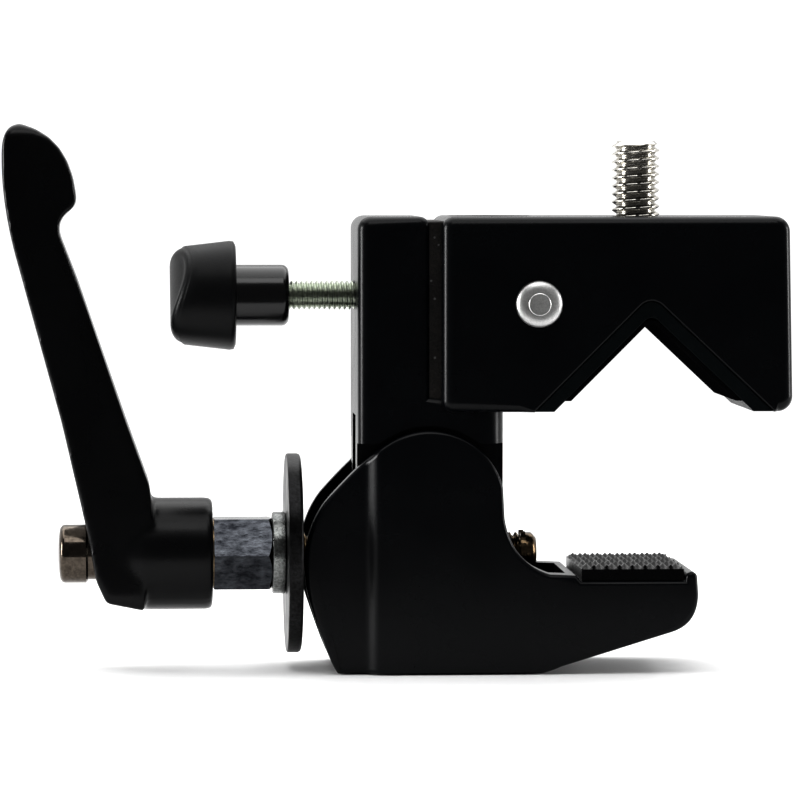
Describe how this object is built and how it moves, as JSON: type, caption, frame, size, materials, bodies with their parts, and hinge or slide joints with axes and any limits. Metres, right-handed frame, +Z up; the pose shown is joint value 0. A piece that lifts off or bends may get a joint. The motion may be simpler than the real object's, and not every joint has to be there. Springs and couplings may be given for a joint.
{
  "type": "super clamp",
  "caption": "Lever-screw clamp for tubes and flat bars: a V-throated body, a pivoting padded jaw, a threaded stud on top and a locking hexagonal spigot socket.",
  "frame": {"origin": "middle of the clamp's length and width, level with the jaw's flat base", "axes": "+X along the clamp from the lever to the throat, +Y across the casting away from the safety button, +Z up along the top stud"},
  "size_m": [0.156, 0.0398, 0.1084],
  "materials": {
    "black_paint": "satin black powder paint",
    "insert_plastic": "dark matte plastic",
    "rubber": "black rubber",
    "bright_steel": "bright turned steel",
    "zinc": "zinc plated steel",
    "black_steel": "blackened steel",
    "dark_nickel": "polished dark nickel",
    "brass": "brass and yellow zinc",
    "black_plastic": "fine textured black plastic",
    "gloss_plastic": "gloss black plastic"
  },
  "bodies": {
    "clamp_body": {"body_casting": "black_paint", "v_insert": "insert_plastic", "v_lining": "rubber", "top_stud": "bright_steel", "pivot_pin": "zinc"},
    "jaw": {"lower_jaw": "black_paint", "jaw_pad": "rubber"},
    "washers": {"pressure_washer": "black_steel", "zinc_washer": "zinc"},
    "screw": {"spindle": "zinc", "spindle_clip": "brass", "handle_screw": "dark_nickel"},
    "handle_seat": {"handle_washer": "zinc", "handle_spring": "zinc"},
    "lever": {"handle": "black_paint"},
    "lock_end": {"lock_tip": "brass"},
    "lock": {"lock_knob": "black_plastic", "lock_collar": "gloss_plastic", "lock_screw": "zinc"},
    "safety": {"safety_pin": "bright_steel", "safety_clip": "black_steel", "safety_spring": "zinc"}
  },
  "joints": [
    {"name": "washer_slide", "type": "slide", "parent": "clamp_body", "child": "washers", "axis": [1, 0, 0], "range_m": [-0.00375, 0.00875]},
    {"name": "spindle_turn", "type": "hinge", "parent": "washers", "child": "screw", "pos_m": [0, 0, 0.0228], "axis": [1, 0, 0], "range_deg": [-1081, 2521]},
    {"name": "jaw_pivot", "type": "hinge", "parent": "clamp_body", "child": "jaw", "pos_m": [0.00605, 0, 0.0331], "axis": [0, -1, 0], "range_deg": [-18.1, 42.3]},
    {"name": "handle_lift", "type": "slide", "parent": "screw", "child": "handle_seat", "axis": [-1, 0, 0], "range_m": [0, 0.0045], "stiffness_N_per_m": 900, "springref_m": -0.001, "deforming": ["handle_spring"]},
    {"name": "handle_index", "type": "hinge", "parent": "handle_seat", "child": "lever", "pos_m": [-0.05, 0, 0.0228], "axis": [1, 0, 0], "continuous": true},
    {"name": "lock_slide", "type": "slide", "parent": "clamp_body", "child": "lock_end", "axis": [1, 0, 0], "range_m": [-0.004, 0.003]},
    {"name": "lock_turn", "type": "hinge", "parent": "lock_end", "child": "lock", "pos_m": [-0.03, 0, 0.0743], "axis": [1, 0, 0], "range_deg": [-1441, 1081]},
    {"name": "safety_press", "type": "slide", "parent": "clamp_body", "child": "safety", "axis": [0, 1, 0], "range_m": [0, 0.0032], "stiffness_N_per_m": 600, "springref_m": -0.001, "deforming": ["safety_spring"]}
  ],
  "couplings": [
    {"joint": "spindle_turn", "follows": "washer_slide", "rad_per_m": 5026.5},
    {"joint": "jaw_pivot", "follows": "washer_slide", "rad_per_m": 84.034},
    {"joint": "lock_turn", "follows": "lock_slide", "rad_per_m": 6283.2}
  ]
}
